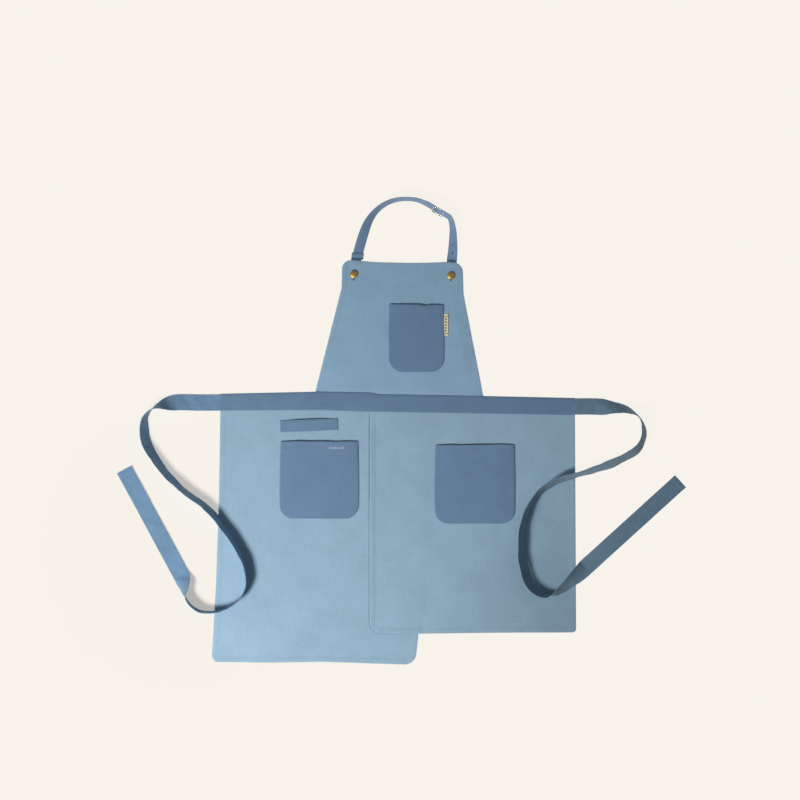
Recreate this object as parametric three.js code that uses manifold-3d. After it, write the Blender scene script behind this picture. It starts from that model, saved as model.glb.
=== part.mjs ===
// Split-leg bib apron lying face up on a surface. Millimetres, +Z up, +Y towards the neck.
import * as THREE from "three";
import { mergeVertices } from "three/addons/utils/BufferGeometryUtils.js";
import Module from "manifold-3d";

// Cloth and the gaps left between layers.
const CLOTH = 1.2;
const GAP = 0.3;
const SEAM = 0.5;

// Heights of the layers, from the surface up.
const SKIRT_UNDER_Z = 0;
const SKIRT_OVER_Z = CLOTH + GAP;
const WAIST_FRONT_Z = CLOTH + GAP;
const WAIST_FRONT_THICK = 2.4;
const STRAP_Z = 1.1;
const BIB_Z = STRAP_Z + CLOTH + GAP;

// Waistband edges, from its left end to its right end.
const WAIST_TOP = [[-399.5, 81.8], [-184.8, 86.5], [-70.4, 84.9], [-48.4, 81.0], [178.2, 77.0], [380.6, 72.6]];
const WAIST_BOTTOM = [[-399.5, 44.7], [-184.8, 46.2], [-70.4, 42.2], [35.0, 40.8], [380.6, 35.2]];

// Straps.
const TIE_WIDTH = 36;
const STRAP_WIDTH = 22;

// Buttons: centres, cap, and the buttonhole each one passes through.
const BUTTONS = { left: [-106.0, 344.1], right: [107.4, 341.4] };
const CAP_R = 8.5;
const CAP_TOP = 4.4;
const STEM_R = 2.2;
const NAIL_R = 1.0;
const HOLE_WIDTH = 5.4;
const HOLE_BELOW = 11.5;
const HOLE_ABOVE = 6.5;

// Slider buckle of the neck strap.
const SLIDER_AT = [80.0, 483.5];
const SLIDER_TURN = -30.6;
const SLIDER_LEAN = 66;
const SLIDER_Z = 3.6;
const SLIDER_LENGTH = 28;
const SLIDER_BAR = 2.2;

const wasm = await Module();
wasm.setup();

const part = new THREE.Group();

function add(name, geometry, color) {
  const material = new THREE.MeshStandardMaterial({ color, roughness: 0.9 });
  const mesh = new THREE.Mesh(geometry, material);
  mesh.name = name;
  part.add(mesh);
}

// A closed outline through corners [x, y, radius].
function outline(corners) {
  const shape = new THREE.Shape();
  const count = corners.length;
  const towards = (from, to, length) => {
    const way = new THREE.Vector2(to[0] - from[0], to[1] - from[1]).setLength(length);
    return [from[0] + way.x, from[1] + way.y];
  };
  corners.forEach((corner, i) => {
    const before = corners[(i + count - 1) % count];
    const after = corners[(i + 1) % count];
    const radius = corner[2] ?? 0;
    const start = radius ? towards(corner, before, radius) : corner;
    if (i === 0) shape.moveTo(start[0], start[1]);
    else shape.lineTo(start[0], start[1]);
    if (radius) {
      const end = towards(corner, after, radius);
      const pull = 0.552;
      const a = towards(start, corner, radius * pull);
      const b = towards(end, corner, radius * pull);
      shape.bezierCurveTo(a[0], a[1], b[0], b[1], end[0], end[1]);
    }
  });
  shape.closePath();
  return shape;
}

// A flat plate of cloth between z and z + thick.
function plate(corners, z, thick = CLOTH, holes = []) {
  const shape = outline(corners);
  shape.holes.push(...holes);
  const geometry = new THREE.ExtrudeGeometry(shape, { depth: thick, bevelEnabled: false, curveSegments: 8 });
  return geometry.translate(0, 0, z);
}

// A thin box of cloth whose points are laid by at(u, v), with u and v from 0 to 1.
// at gives the middle of the cloth and the direction of its thickness.
function sheet(across, along, thick, at) {
  const geometry = new THREE.BoxGeometry(1, 1, 1, across, along, 1);
  const position = geometry.attributes.position;
  for (let i = 0; i < position.count; i++) {
    const laid = at(position.getX(i) + 0.5, position.getY(i) + 0.5);
    const side = position.getZ(i) * thick;
    position.setXYZ(i, laid.x + laid.nx * side, laid.y + laid.ny * side, laid.z + laid.nz * side);
  }
  const merged = mergeVertices(geometry.deleteAttribute("normal").deleteAttribute("uv"), 1e-4);
  merged.computeVertexNormals();
  return merged;
}

// A strip of webbing along points [x, y, lean, base]. Lean is 0 where it lies flat and 90 where it
// stands on edge with its left edge up, and base is the height of its lowest edge.
function strip(points, width, segments) {
  const path = new THREE.CatmullRomCurve3(points.map((p) => new THREE.Vector3(p[0], p[1], p[3])), false, "centripetal");
  const turn = new THREE.CatmullRomCurve3(points.map((p, i) => new THREE.Vector3(i, p[2], 0)), false, "centripetal");
  return sheet(segments, 2, CLOTH, (u, v) => {
    const middle = path.getPoint(u);
    const way = path.getTangent(u).setZ(0).normalize();
    const lean = THREE.MathUtils.degToRad(turn.getPoint(u).y);
    const out = (v - 0.5) * width;
    const reach = Math.abs(Math.sin(lean)) * width / 2 + Math.abs(Math.cos(lean)) * CLOTH / 2;
    return {
      x: middle.x - way.y * out * Math.cos(lean),
      y: middle.y + way.x * out * Math.cos(lean),
      z: middle.z + reach + out * Math.sin(lean),
      nx: way.y * Math.sin(lean),
      ny: -way.x * Math.sin(lean),
      nz: Math.cos(lean),
    };
  });
}

// A patch pocket: sewn down at its sides and bottom, open at its top and standing off by bulge.
function pocket(left, right, bottom, topLeft, topRight, radius, base, bulge) {
  return sheet(20, 18, CLOTH, (u, v) => {
    const top = THREE.MathUtils.lerp(topLeft, topRight, u);
    const rise = Math.pow(v, 1.6);
    const y = THREE.MathUtils.lerp(bottom, top, rise);
    const up = Math.max(0, radius - (y - bottom));
    const inset = radius - Math.sqrt(radius * radius - up * up);
    const x = THREE.MathUtils.lerp(left + inset, right - inset, u);
    const across = 1 - Math.pow(Math.abs(2 * u - 1), 5);
    const off = bulge * across * (1 - Math.pow(1 - rise, 6));
    return { x, y, z: base + CLOTH / 2 + off, nx: 0, ny: 0, nz: 1 };
  });
}

// A surface of revolution standing at [x, y].
function turned(profile, at, segments = 40) {
  const points = profile.map(([r, z]) => new THREE.Vector2(r, z));
  return new THREE.LatheGeometry(points, segments).rotateX(Math.PI / 2).translate(at[0], at[1], 0);
}

function solid(geometry) {
  const welded = mergeVertices(geometry.deleteAttribute("normal").deleteAttribute("uv"), 1e-4);
  const vertProperties = new Float32Array(welded.attributes.position.array);
  const triVerts = new Uint32Array(welded.index.array);
  return new wasm.Manifold(new wasm.Mesh({ numProp: 3, vertProperties, triVerts }));
}

function joined(geometries) {
  const mesh = wasm.Manifold.union(geometries.map(solid)).getMesh();
  const geometry = new THREE.BufferGeometry();
  geometry.setAttribute("position", new THREE.BufferAttribute(mesh.vertProperties, 3));
  geometry.setIndex(new THREE.BufferAttribute(mesh.triVerts, 1));
  geometry.computeVertexNormals();
  return geometry;
}

// Waistband: the strip on the front and the one behind it.
const band = [...WAIST_BOTTOM, ...[...WAIST_TOP].reverse()];
const middleY = 62;
const inset = band.map(([x, y]) => [x, y + Math.sign(middleY - y) * 1]);
add("waistband_front", plate(band, WAIST_FRONT_Z, WAIST_FRONT_THICK), 0x607b97);
add("waistband_back", plate(inset, 0), 0x6a86a2);

// Bib, with a vertical buttonhole in each top corner.
const holes = Object.values(BUTTONS).map(([x, y]) => {
  const half = HOLE_WIDTH / 2;
  const hole = new THREE.Path();
  hole.absarc(x, y - HOLE_BELOW + half, half, Math.PI, 2 * Math.PI);
  hole.absarc(x, y + HOLE_ABOVE - half, half, 0, Math.PI);
  hole.closePath();
  return hole;
});
const bibFoot = WAIST_TOP.slice(2, 4).map(([x, y]) => [x, y + SEAM]);
const bib = [
  [-190.4, 86.6 + SEAM], ...bibFoot, [178.9, 77.0 + SEAM],
  [135.4, 300.0], [133.4, 369.4, 20], [99.0, 371.6], [52.8, 369.8], [11.0, 369.6], [-60.0, 371.2],
  [-100.0, 374.8], [-131.4, 376.6, 20], [-132.7, 314.6],
];
add("bib_panel", plate(bib, BIB_Z, CLOTH, holes), 0x82a2bb);

// Skirt panels: the left one lies under the right one.
const leftSkirt = [
  [-399.5, 44.7 - SEAM], [-402.6, -151.8], [-409.2, -341.0], [-418.0, -495.0], [-412.5, -508.0, 6],
  [-292.6, -509.3], [-176.0, -507.5], [-74.8, -510.8], [28.6, -514.4, 24], [36.0, -446.6],
  [35.0, 40.8 - SEAM], [-70.4, 42.2 - SEAM], [-184.8, 46.2 - SEAM],
];
const rightSkirt = [
  [-70.4, 42.2 - SEAM], [-70.4, -443.8, 26], [17.6, -445.9], [211.2, -443.5], [382.8, -442.9, 8],
  [381.7, 35.2 - SEAM], [35.0, 40.8 - SEAM],
];
add("left_skirt_panel", plate(leftSkirt, SKIRT_UNDER_Z), 0x92b0c6);
add("right_skirt_panel", plate(rightSkirt, SKIRT_OVER_Z), 0x88a8bf);

// Pockets.
const bibTop = BIB_Z + CLOTH + GAP;
const underTop = SKIRT_UNDER_Z + CLOTH + GAP;
const overTop = SKIRT_OVER_Z + CLOTH + GAP;
add("bib_pocket", pocket(-28.6, 91.3, 129.8, 278.3, 276.6, 27, bibTop, 6.4), 0x5f7894);
add("left_skirt_pocket", pocket(-268.0, -96.4, -192.7, -23.1, -23.1, 29, underTop, 6.4), 0x6c87a5);
add("right_skirt_pocket", pocket(72.6, 247.9, -203.5, -30.8, -30.8, 29, overTop, 6.4), 0x5f7894);

// Towel loop: a strip stitched down at both ends and free between them.
add("towel_loop", sheet(24, 2, CLOTH, (u, v) => {
  const start = new THREE.Vector2(-268.0, 10.0);
  const end = new THREE.Vector2(-140.8, 15.4);
  const way = end.clone().sub(start).normalize();
  const middle = start.lerp(end, u);
  const held = THREE.MathUtils.smoothstep(Math.min(u, 1 - u), 0.09, 0.24);
  const out = (v - 0.5) * 26;
  return {
    x: middle.x - way.y * out, y: middle.y + way.x * out, z: underTop + CLOTH / 2 + 6.2 * held,
    nx: 0, ny: 0, nz: 1,
  };
}), 0x6886a0);

// Label tab in the right edge of the bib pocket.
const label = [[91.9, 209.5], [101.6, 209.0], [101.6, 257.0], [91.9, 257.4]];
add("label_tab", plate(label, bibTop, 0.6), 0xdccf9a);

// Waist ties. Each is one strip, parted where its flat tail can lift.
const base = CLOTH + GAP;
const over = SKIRT_OVER_Z + CLOTH + GAP;
const leftTie = [
  [-400.2, 62.7, 0, base], [-448.0, 62.7, 0, base], [-497.2, 62.7, 12, base], [-539.0, 54.0, 76, base],
  [-562.4, 30.0, 103, base], [-564.0, -8.0, 119, base], [-551.0, -44.0, 116, base],
  [-514.8, -95.0, 109, base], [-470.8, -137.0, 105, base], [-428.0, -168.0, 105, base],
  [-396.0, -204.0, 105, base], [-365.2, -250.0, 102, base], [-346.4, -292.0, 95, base],
  [-340.5, -328.0, 89, base],
  [-350.0, -358.0, 87, base], [-374.0, -382.0, 88, base], [-406.0, -395.0, 90, base],
  [-443.0, -394.5, 90, base], [-462.0, -383.0, 92, base], [-473.0, -368.5, 97, base],
  [-477.1, -358.2, 108, base], [-478.6, -345.4, 125, base], [-481.1, -329.7, 152, base],
  [-482.8, -321.5, 172, base], [-485.5, -316.6, 180, base],
];
const leftTail = [[-486.1, -315.4, 180, base], [-542.0, -211.7, 180, base], [-610.5, -84.8, 180, base]];
const rightTie = [
  [381.3, 53.9, 180, over], [424.6, 53.9, 176, over], [459.8, 51.7, 140, over], [495.0, 46.2, 110, over],
  [517.0, 34.0, 98, over], [528.0, 12.0, 103, over], [530.0, -12.0, 112, over], [515.0, -40.0, 120, over],
  [470.8, -66.0, 121, over], [424.6, -83.6, 117, over], [378.0, -97.0, 111, over], [330.0, -114.0, 114, over],
  [300.0, -136.0, 115, over], [279.0, -168.0, 116, over], [266.0, -210.0, 121, over],
  [263.5, -250.0, 126, over], [266.0, -289.0, 126, over], [279.0, -331.0, 126, over],
  [298.0, -352.0, 118, over], [317.0, -359.0, 102, over], [335.0, -356.0, 70, over],
  [360.8, -337.0, 48, over], [381.0, -320.0, 28, over], [398.3, -304.8, 8, over],
  [404.0, -299.6, 0, over],
];
const rightTail = [[405.0, -298.7, 0, over], [508.6, -204.6, 0, over], [612.2, -110.4, 0, over]];
add("left_tie", strip(leftTie, TIE_WIDTH, 120), 0x778ba7);
add("left_tie_tail", strip(leftTail, TIE_WIDTH, 6), 0x778ba7);
add("right_tie", strip(rightTie, TIE_WIDTH, 130), 0x5f7894);
add("right_tie_tail", strip(rightTail, TIE_WIDTH, 6), 0x5b6d89);

// Neck strap: flat at the bib and on edge over the crown, with a straight stretch at the slider.
const turn = THREE.MathUtils.degToRad(SLIDER_TURN);
const beside = (d) => [
  SLIDER_AT[0] + d * Math.cos(turn), SLIDER_AT[1] + d * Math.sin(turn), SLIDER_LEAN, SLIDER_Z,
];
const neckStrap = [
  [-100.6, 377.0, 0, STRAP_Z], [-95.9, 394.0, 4, STRAP_Z], [-85.0, 431.0, 18, STRAP_Z],
  [-73.5, 460.0, 42, STRAP_Z], [-57.9, 482.0, 60, STRAP_Z], [-38.0, 497.5, 67, STRAP_Z],
  [-14.5, 507.0, 71, STRAP_Z], [10.0, 509.3, 74, STRAP_Z], [34.5, 506.4, 72, STRAP_Z],
  beside(-27), beside(-23), beside(0), beside(23), beside(27),
  [108.4, 460.0, 62, STRAP_Z], [111.4, 444.0, 54, STRAP_Z], [112.2, 420.0, 40, STRAP_Z],
  [111.4, 394.0, 22, STRAP_Z], [109.8, 377.0, 0, STRAP_Z],
];
add("neck_strap", strip(neckStrap, STRAP_WIDTH, 120), 0x6a839f);

// Strap ends behind the bib, each with an eyelet for its button's stem.
function strapEnd(side, low, high) {
  const way = new THREE.Vector2(high[0] - low[0], high[1] - low[1]).setLength(STRAP_WIDTH / 2);
  const corners = [
    [low[0] - way.y, low[1] + way.x], [low[0] + way.y, low[1] - way.x],
    [high[0] + way.y, high[1] - way.x], [high[0] - way.y, high[1] + way.x],
  ];
  const eyelet = new THREE.Path();
  eyelet.absarc(BUTTONS[side][0], BUTTONS[side][1], STEM_R + GAP, 0, 2 * Math.PI);
  add(side + "_strap_end", plate(corners.reverse(), STRAP_Z, CLOTH, [eyelet]), 0x6a839f);
}
strapEnd("left", [-110.5, 318.0], [-101.0, 375.4]);
strapEnd("right", [106.6, 318.0], [109.7, 375.4]);

// Buttons: a tack from behind, a stem with its flange, and a domed cap over the flange.
for (const side of ["left", "right"]) {
  const low = bibTop;
  const tack = [[0, 0], [5.5, 0], [5.5, 0.5], [5.2, 0.8], [NAIL_R, 0.8], [NAIL_R, low + 1.6], [0, low + 2.2]];
  const stem = [
    [NAIL_R + GAP, STRAP_Z], [STEM_R, STRAP_Z], [STEM_R, low], [6.4, low], [6.4, low + 0.8],
    [STEM_R, low + 0.8], [NAIL_R + GAP, low + 0.8], [NAIL_R + GAP, STRAP_Z],
  ];
  const dome = [[0, low + CAP_TOP]];
  for (let step = 1; step <= 8; step++) {
    const around = (step / 8) * Math.PI / 2;
    dome.push([CAP_R * Math.sin(around), low + 1.2 + (CAP_TOP - 1.2) * Math.cos(around)]);
  }
  const cap = [[0, low + 2.8], [4.4, low + 2.2], [6.9, low + 1.1], [6.9, low], [8.1, low], ...dome.reverse()];
  add(side + "_button_tack", turned(tack, BUTTONS[side]), 0xa8935a);
  add(side + "_button_stem", turned(stem, BUTTONS[side]), 0xa8935a);
  add(side + "_button_cap", turned(cap, BUTTONS[side]), 0xc6ad66);
}

// Slider: two side bars joined by two end bars outside the strap and a middle bar inside it.
const barsHigh = STRAP_WIDTH + 2 * GAP + SLIDER_BAR;
const clearOf = CLOTH / 2 + GAP + SLIDER_BAR / 2;
const bars = [-1, 1].map((k) => new THREE.BoxGeometry(SLIDER_LENGTH, 2 * clearOf + SLIDER_BAR, SLIDER_BAR)
  .translate(0, 0, k * barsHigh / 2));
for (const [along, side] of [[-1, -1], [1, -1], [0, 1]]) {
  const reach = (SLIDER_LENGTH - SLIDER_BAR) / 2;
  bars.push(new THREE.CylinderGeometry(SLIDER_BAR / 2, SLIDER_BAR / 2, barsHigh + 0.2, 16)
    .rotateX(Math.PI / 2).translate(along * reach, side * clearOf, 0));
}
const lean = THREE.MathUtils.degToRad(SLIDER_LEAN);
const sliderHigh = SLIDER_Z + (Math.sin(lean) * STRAP_WIDTH + Math.cos(lean) * CLOTH) / 2;
const slider = joined(bars).rotateX(lean - Math.PI / 2).rotateZ(turn);
add("slider", slider.translate(SLIDER_AT[0], SLIDER_AT[1], sliderHigh), 0xc9ccd0);

export default part;
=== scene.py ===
# %% [markdown]
# # A split-leg bib apron, lying face up
# The apron is cut from plain-weave cotton canvas: a bib, two overlapping skirt panels, a waistband, patch
# pockets, a towel loop and long self-fabric ties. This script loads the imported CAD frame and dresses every
# part of it as sewn cloth or metal, in the same coordinates, in metres.

# %% Load the frame
import math

import bmesh
import bpy
import numpy as np
from mathutils import Matrix, Vector, kdtree, noise


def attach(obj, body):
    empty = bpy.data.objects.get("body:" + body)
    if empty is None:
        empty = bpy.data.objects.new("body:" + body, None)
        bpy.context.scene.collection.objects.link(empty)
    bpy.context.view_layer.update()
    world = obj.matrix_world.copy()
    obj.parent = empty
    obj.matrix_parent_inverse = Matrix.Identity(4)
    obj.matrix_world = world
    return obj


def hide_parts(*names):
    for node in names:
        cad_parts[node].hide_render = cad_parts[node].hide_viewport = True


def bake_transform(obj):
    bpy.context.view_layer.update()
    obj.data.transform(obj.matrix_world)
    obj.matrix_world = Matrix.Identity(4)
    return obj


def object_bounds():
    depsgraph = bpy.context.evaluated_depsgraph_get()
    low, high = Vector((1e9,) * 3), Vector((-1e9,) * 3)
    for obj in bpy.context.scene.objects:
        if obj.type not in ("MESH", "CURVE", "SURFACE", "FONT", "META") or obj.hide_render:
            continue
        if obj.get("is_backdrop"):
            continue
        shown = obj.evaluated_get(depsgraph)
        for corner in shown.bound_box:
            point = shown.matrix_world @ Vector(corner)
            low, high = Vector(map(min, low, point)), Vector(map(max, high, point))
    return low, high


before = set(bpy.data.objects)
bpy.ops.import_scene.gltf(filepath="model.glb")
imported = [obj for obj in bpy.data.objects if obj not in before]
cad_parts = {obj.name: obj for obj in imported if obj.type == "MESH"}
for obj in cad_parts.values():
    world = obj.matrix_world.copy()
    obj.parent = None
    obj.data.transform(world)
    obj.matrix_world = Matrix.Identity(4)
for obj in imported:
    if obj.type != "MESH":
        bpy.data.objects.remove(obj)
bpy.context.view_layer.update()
MM = 0.001

# %% [markdown]
# ## Sizes that the pieces share
# Canvas of this weight is a little under a millimetre thick, and a turned hem doubles it. The centre lines of
# the ties and the neck strap repeat the CAD source's points, so that the cloth lies where its solid is.

# %% Shared sizes
CLOTH = 0.9
HEM = 12.0
TIE_WIDTH = 36.0
STRAP_WIDTH = 22.0
BUTTONS = {"left": (-106.0, 344.1), "right": (107.4, 341.4)}
WAIST_TOP = [(-399.5, 81.8), (-184.8, 86.5), (-70.4, 84.9), (-48.4, 81.0), (178.2, 77.0), (380.6, 72.6)]
WAIST_BOTTOM = [(-399.5, 44.7), (-184.8, 46.2), (-70.4, 42.2), (35.0, 40.8), (380.6, 35.2)]
UNDER_Z = 0.8
SEAM = 3.4
UP = Vector((0, 0, 1))
print("nodes", len(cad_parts))

# %% [markdown]
# ## Outlines and grids
# A pattern cutter draws each panel as an outline with rounded corners. Here an outline is sampled, split at
# four marks, and a grid is stretched between the four sides, so the cloth has even faces to bend with.


# %% Outline tools
def rounded(corners, step=1.5):
    """Points along a closed outline whose corners are (x, y) or (x, y, radius), in millimetres."""
    points = []
    for i, corner in enumerate(corners):
        here = Vector(corner[:2])
        before = Vector(corners[i - 1][:2])
        after = Vector(corners[(i + 1) % len(corners)][:2])
        radius = corner[2] if len(corner) > 2 else 0
        if not radius:
            points.append(here)
            continue
        start = here + (before - here).normalized() * radius
        end = here + (after - here).normalized() * radius
        for t in np.linspace(0, 1, 13):
            a = start.lerp(here, 0.552)
            b = end.lerp(here, 0.552)
            first_half = start * (1 - t) ** 3 + a * 3 * t * (1 - t) ** 2
            points.append(first_half + b * 3 * t * t * (1 - t) + end * t**3)
    dense = []
    for i, p in enumerate(points):
        q = points[(i + 1) % len(points)]
        count = max(1, round((q - p).length / step))
        dense += [p.lerp(q, k / count) for k in range(count)]
    return np.array([tuple(p) for p in dense])


def spacing(count, zones=()):
    """count + 1 shares from 0 to 1, closer together in zones = (share, width, how much closer)."""
    t = np.linspace(0, 1, 2001)
    density = np.ones_like(t) + sum(extra * np.exp(-(((t - at) / width) ** 2)) for at, width, extra in zones)
    total = np.cumsum(density)
    return np.interp(np.linspace(0, 1, count + 1), (total - total[0]) / (total[-1] - total[0]), t)


def resample(points, count, zones=()):
    """count + 1 points along an open line."""
    length = np.concatenate([[0], np.cumsum(np.linalg.norm(np.diff(points, axis=0), axis=1))])
    at = spacing(count, zones) * length[-1]
    return np.stack([np.interp(at, length, points[:, k]) for k in range(points.shape[1])], axis=1)


def sides_of(loop, marks):
    """The four sides between marks, which go round from the lower left: bottom, right, top, left."""
    first = [int(np.argmin(np.linalg.norm(loop - np.array(m), axis=1))) for m in marks]
    sides = []
    for k in range(4):
        a, b = first[k], first[(k + 1) % 4]
        index = [(a + n) % len(loop) for n in range((b - a) % len(loop) + 1)]
        sides.append(loop[index])
    return sides[0], sides[1], sides[2][::-1], sides[3][::-1]


def area_of(loop):
    """The flat area inside an outline, in square metres."""
    x, y = loop[:, 0], loop[:, 1]
    return abs(np.dot(x, np.roll(y, 1)) - np.dot(y, np.roll(x, 1))) / 2 * MM * MM


def wave(x, y, size, seed):
    """Smooth noise from -1 to 1 with features about size millimetres across."""
    return noise.noise(Vector((x / size, y / size, seed)))


def smooth(edge0, edge1, x):
    t = min(1.0, max(0.0, (x - edge0) / (edge1 - edge0)))
    return t * t * (3 - 2 * t)


def make_object(name, bm, smooth_faces=True):
    mesh = bpy.data.meshes.new(name)
    bm.to_mesh(mesh)
    bm.free()
    obj = bpy.data.objects.new(name, mesh)
    bpy.context.scene.collection.objects.link(obj)
    if smooth_faces:
        mesh.polygons.foreach_set("use_smooth", [True] * len(mesh.polygons))
    return obj


def thicken(obj, thickness, edge=0.35):
    """Gives a single layer of cloth its thickness, with a soft edge."""
    solid = obj.modifiers.new("thickness", "SOLIDIFY")
    solid.thickness = thickness * MM
    solid.offset = 0
    bevel = obj.modifiers.new("edge", "BEVEL")
    bevel.width = edge * MM
    bevel.segments = 2
    bevel.limit_method = "ANGLE"
    bevel.angle_limit = math.radians(50)
    return obj


def laid(name, cells, place):
    """A grid of cells = (along, across) whose points go where place(u, v) says, with cloth UVs in metres."""
    bm = bmesh.new()
    bmesh.ops.create_grid(bm, x_segments=cells[0], y_segments=cells[1], size=0.5)
    uvs = {}
    for vert in bm.verts:
        u, v = vert.co.x + 0.5, vert.co.y + 0.5
        point, uv = place(u, v)
        vert.co = Vector(point) * MM
        uvs[vert.index] = (uv[0] * MM, uv[1] * MM)
    layer = bm.loops.layers.uv.new("cloth")
    for face in bm.faces:
        for loop in face.loops:
            loop[layer].uv = uvs[loop.vert.index]
    return make_object(name, bm)


def panel(name, corners, marks, cells, height, zones=((), ())):
    """A cut panel: height(x, y, edge) is the middle of its cloth, edge being the way to the outline."""
    loop = rounded(corners)
    bottom, right, top, left = sides_of(loop, marks)
    low, high = resample(bottom, cells[0], zones[0]), resample(top, cells[0], zones[0])
    west, east = resample(left, cells[1], zones[1]), resample(right, cells[1], zones[1])
    shares = spacing(cells[0], zones[0]), spacing(cells[1], zones[1])
    tree = kdtree.KDTree(len(loop))
    for i, p in enumerate(loop):
        tree.insert((p[0], p[1], 0), i)
    tree.balance()

    def place(u, v):
        i, j = round(u * cells[0]), round(v * cells[1])
        u, v = shares[0][i], shares[1][j]
        flat = (1 - v) * low[i] + v * high[i] + (1 - u) * west[j] + u * east[j]
        flat -= (1 - u) * (1 - v) * low[0] + u * (1 - v) * low[-1] + (1 - u) * v * high[0] + u * v * high[-1]
        edge = tree.find((flat[0], flat[1], 0))[2]
        return (flat[0], flat[1], height(flat[0], flat[1], edge)), flat

    obj = laid(name, cells, place)
    obj["area"] = area_of(loop)
    obj["flat"] = [float(x) * MM for x in np.ptp(loop, axis=0)]
    return obj


def hem_profile(edge, width=HEM):
    """How far a turned hem stands above the cloth, with a groove where it is stitched down."""
    ridge = 0.45 * (1 - smooth(width - 1.0, width + 1.5, edge))
    groove = -0.35 * math.exp(-(((edge - width + 1.5) / 1.3) ** 2))
    rim = -0.5 * (1 - smooth(0, 1.6, edge))
    return ridge + groove + rim


print("outline tools ready")


# %% [markdown]
# ## Strips
# A tie or a strap is one long folded strip. Where it lies flat its width is level; where it turns on the
# surface it stands on edge, because cloth bends easily only one way. Each point of the centre line gives the
# lean and the height of the lower edge, and the strip follows them with the same curve as the CAD source.


# %% Strip tools
def spline(points, t):
    """Centripetal Catmull-Rom point at t from 0 to 1 through points of any dimension."""
    count = len(points)
    p = (count - 1) * t
    i = min(int(p), count - 2)
    w = p - i
    p1, p2 = points[i], points[i + 1]
    p0 = points[i - 1] if i > 0 else 2 * p1 - p2
    p3 = points[i + 2] if i + 2 < count else 2 * p2 - p1
    d0 = max(np.dot(p1 - p0, p1 - p0) ** 0.25, 1e-4)
    d1 = max(np.dot(p2 - p1, p2 - p1) ** 0.25, 1e-4)
    d2 = max(np.dot(p3 - p2, p3 - p2) ** 0.25, 1e-4)
    m1 = ((p1 - p0) / d0 - (p2 - p0) / (d0 + d1) + (p2 - p1) / d1) * d1
    m2 = ((p2 - p1) / d1 - (p3 - p1) / (d1 + d2) + (p3 - p2) / d2) * d1
    return p1 + m1 * w + (-3 * p1 + 3 * p2 - 2 * m1 - m2) * w * w + (2 * p1 - 2 * p2 + m1 + m2) * w**3


class Strip:
    """The course of a strip along points (x, y, lean, base)."""

    def __init__(self, points, width, seed=0.0, crease=0.35, hemmed=False):
        fine = 40 * (len(points) - 1)
        place = [np.array((p[0], p[1], p[3])) for p in points]
        lean = [np.array((float(k), p[2], 0.0)) for k, p in enumerate(points)]
        self.middle = np.array([spline(place, k / fine) for k in range(fine + 1)])
        self.lean = np.array([spline(lean, k / fine)[1] for k in range(fine + 1)])
        steps = np.linalg.norm(np.diff(self.middle[:, :2], axis=0), axis=1)
        self.run = np.concatenate([[0], np.cumsum(steps)])
        self.length = float(self.run[-1])
        self.width = width
        self.seed = seed
        self.crease = crease
        self.hemmed = hemmed

    def at(self, s, out, lift=0.0):
        """The point s along the strip and out from its middle line, with the cloth's way and normal there."""
        s = min(max(s, 0.0), self.length)
        x, y, base = (float(np.interp(s, self.run, self.middle[:, k])) for k in range(3))
        a, b = max(0, s - 0.6), min(self.length, s + 0.6)
        dx = float(np.interp(b, self.run, self.middle[:, 0]) - np.interp(a, self.run, self.middle[:, 0]))
        dy = float(np.interp(b, self.run, self.middle[:, 1]) - np.interp(a, self.run, self.middle[:, 1]))
        size = math.hypot(dx, dy)
        way = Vector((dx / size, dy / size, 0))
        lean = math.radians(float(np.interp(s, self.run, self.lean)))
        left = Vector((-way.y, way.x, 0))
        across = left * math.cos(lean) + Vector((0, 0, math.sin(lean)))
        normal = Vector((0, 0, math.cos(lean))) - left * math.sin(lean)
        reach = abs(math.sin(lean)) * self.width / 2 + abs(math.cos(lean)) * CLOTH * 0.7
        swell = self.crease * (1 + 0.9 * math.exp(-(((s - 62) / 30) ** 2))) * min(1, s / 12)
        folds = wave(s + out * 0.7, out * 0.6, 30, self.seed)
        ripple = swell * (folds + 0.3 * wave(s, out * 2, 9, self.seed + 5))
        edge = self.width / 2 - abs(out)
        seam = -0.25 * math.exp(-(((edge - 3.2) / 0.9) ** 2))
        hem = 0.8 * smooth(self.length - 14.5, self.length - 12, s)
        hem -= 0.9 * math.exp(-(((s - self.length + 14) / 1.6) ** 2))
        rise = abs(math.cos(lean)) * (0.85 * swell + (hem if self.hemmed else 0))
        point = Vector((x, y, base + reach + rise)) + across * out
        point += normal * (ripple + seam + lift)
        return point, way, normal

    def cloth(self, name, start, end, per_cell=2.6, across=14):
        """The stretch from start to end as a mesh."""
        cells = (max(4, round((end - start) / per_cell)), across)

        def place(u, v):
            s = start + u * (end - start)
            edge = 0.5 - 0.5 * math.cos(math.pi * v)
            out = ((0.45 * v + 0.55 * edge) - 0.5) * self.width
            return tuple(self.at(s, out)[0]), (s, out + self.width)

        obj = laid(name, cells, place)
        obj["flat"] = [self.width * MM, (end - start) * MM]
        return obj


print("strip tools ready")

# %% [markdown]
# ## Canvas, metal and tape
# Plain-weave canvas shows a fine checker of threads, each a little uneven in colour, over a soft mottle from
# dyeing and washing. The pattern is made from the cloth's own UVs in metres, so threads stay the same size on
# every piece and run along the strips.


# %% Material tools
def linear(red, green, blue):
    def one(c):
        c = c / 255
        return c / 12.92 if c <= 0.04045 else ((c + 0.055) / 1.055) ** 2.4

    return (one(red), one(green), one(blue), 1.0)


def shade(colour, factor):
    return tuple(min(1.0, c * factor) for c in colour[:3]) + (1.0,)


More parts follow.
